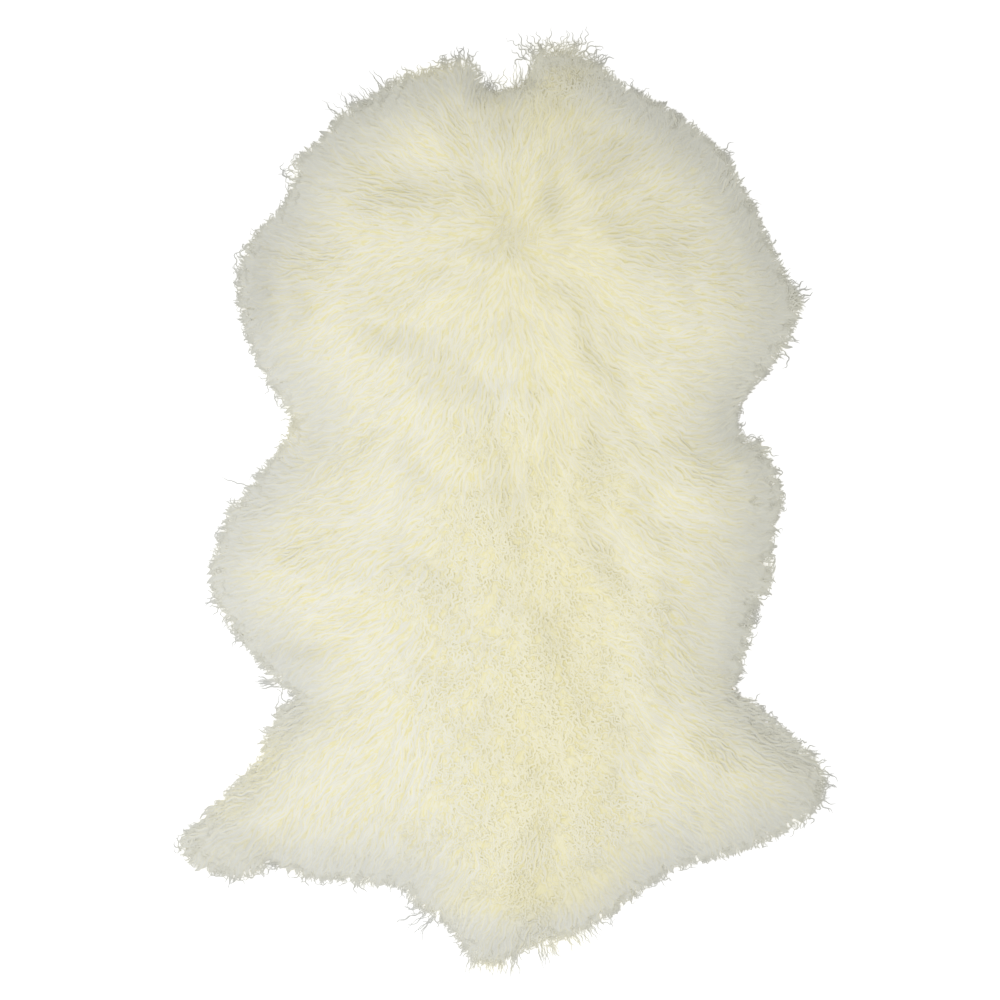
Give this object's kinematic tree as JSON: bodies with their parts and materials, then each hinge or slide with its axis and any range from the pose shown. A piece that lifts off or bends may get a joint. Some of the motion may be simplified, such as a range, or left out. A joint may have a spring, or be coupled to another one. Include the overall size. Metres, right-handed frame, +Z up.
{
  "type": "wool pelt rug",
  "caption": "Flat long-haired lambskin rug: a trimmed skin with a deep pile of wavy ivory wool and pointed locks round its rim.",
  "frame": {"origin": "on the floor, on the skin's flat underside, under the middle of the pelt", "axes": "+Z up out of the wool, +Y along the back towards the neck, +X to the right as seen from above with the neck up"},
  "size_m": [0.6473, 0.948, 0.0637],
  "materials": {
    "wool": "undyed ivory wool in long wavy locks, matt with a soft sheen, on tanned skin"
  },
  "bodies": {
    "root": {"pelt": "wool"}
  },
  "joints": []
}
